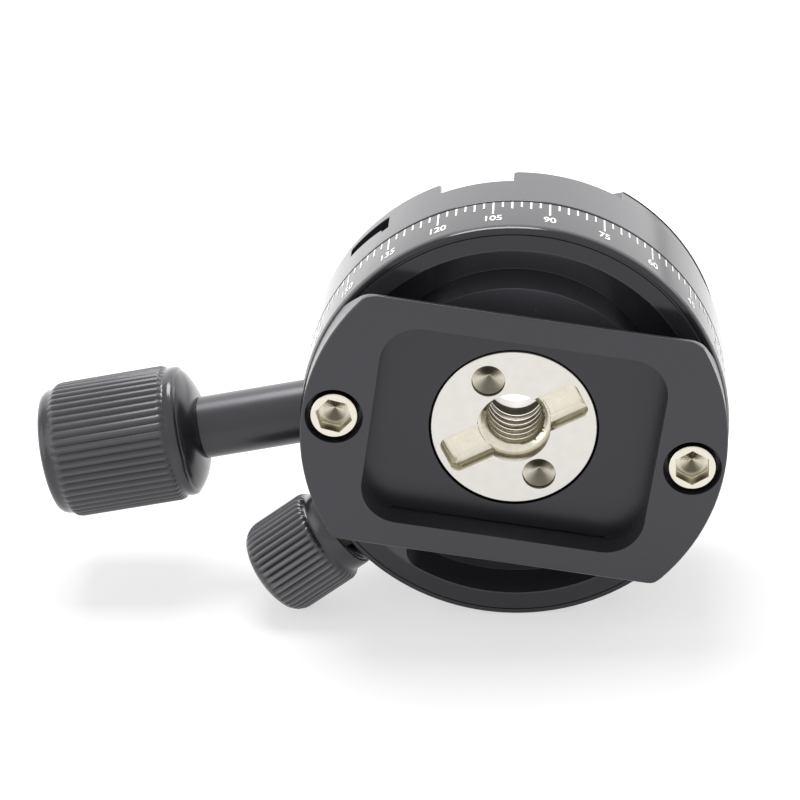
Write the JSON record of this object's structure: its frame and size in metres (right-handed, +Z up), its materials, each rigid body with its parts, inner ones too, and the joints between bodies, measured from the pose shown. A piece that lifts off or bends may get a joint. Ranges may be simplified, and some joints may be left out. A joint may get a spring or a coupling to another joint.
{
  "type": "panoramic tripod head",
  "caption": "Round panning head with a dovetail foot, numbered degree dial, side lock knob and a rotating dovetail clamp closed by a long-stem ribbed knob.",
  "frame": {"origin": "on the pan axis, in the plane of the foot's lower face", "axes": "+Z up along the pan axis from foot to clamp, +X from the pan axis to the clamp knob, +Y along the clamp slot"},
  "size_m": [0.1008, 0.0608, 0.0329],
  "materials": {
    "foot_anodised": "satin black anodised",
    "dial_anodised": "satin black anodised with white print",
    "clamp_anodised": "satin black anodised",
    "knob_anodised": "satin black anodised, ribbed",
    "stem_anodised": "smooth black anodised",
    "bush_nickel": "bright nickel plated",
    "screw_nickel": "nickel plated",
    "steel": "plain machined",
    "clip_steel": "blackened spring steel",
    "bearing_brass": "turned",
    "washer_plastic": "natural",
    "level_brass": "turned",
    "level_liquid": "clear tinted",
    "level_clear": "polished clear"
  },
  "bodies": {
    "base": {"dovetail_foot": "foot_anodised", "foot_screws": "screw_nickel", "tripod_bush": "bush_nickel", "base_ring": "dial_anodised", "low_washer": "washer_plastic", "up_washer": "washer_plastic", "spindle_nut": "steel"},
    "pan_head": {"clamp_body": "clamp_anodised", "bearing_plate": "bearing_brass", "plate_screws": "steel", "level_cup": "level_brass", "level_fluid": "level_liquid", "level_lens": "level_clear"},
    "jaw": {"moving_jaw": "clamp_anodised", "jaw_keys": "steel"},
    "clamp_knob": {"clamp_knob": "knob_anodised", "knob_stem": "stem_anodised", "clamp_screw": "steel", "screw_clip": "clip_steel"},
    "brake": {"brake_shoe": "bearing_brass"},
    "lock_knob": {"lock_knob": "knob_anodised", "lock_screw": "screw_nickel"}
  },
  "joints": [
    {"name": "pan", "type": "hinge", "parent": "base", "child": "pan_head", "pos_m": [0, 0, 0.012], "axis": [0, 0, 1], "continuous": true},
    {"name": "jaw_slide", "type": "slide", "parent": "pan_head", "child": "jaw", "axis": [1, 0, 0], "range_m": [-0.0005, 0.0024]},
    {"name": "clamp_turn", "type": "hinge", "parent": "jaw", "child": "clamp_knob", "pos_m": [0.06, 0, 0.0227], "axis": [1, 0, 0], "range_deg": [-225.1, 1080.1]},
    {"name": "brake_slide", "type": "slide", "parent": "base", "child": "brake", "axis": [0.9018, -0.4321, 0], "range_m": [-0.00022, 0.001]},
    {"name": "lock_turn", "type": "hinge", "parent": "brake", "child": "lock_knob", "pos_m": [0.03427, -0.01642, 0.0104], "axis": [0.9018, -0.4321, 0], "range_deg": [-80, 360.1]}
  ],
  "couplings": [
    {"joint": "clamp_turn", "follows": "jaw_slide", "rad_per_m": 7854},
    {"joint": "lock_turn", "follows": "brake_slide", "rad_per_m": 6283.2}
  ]
}
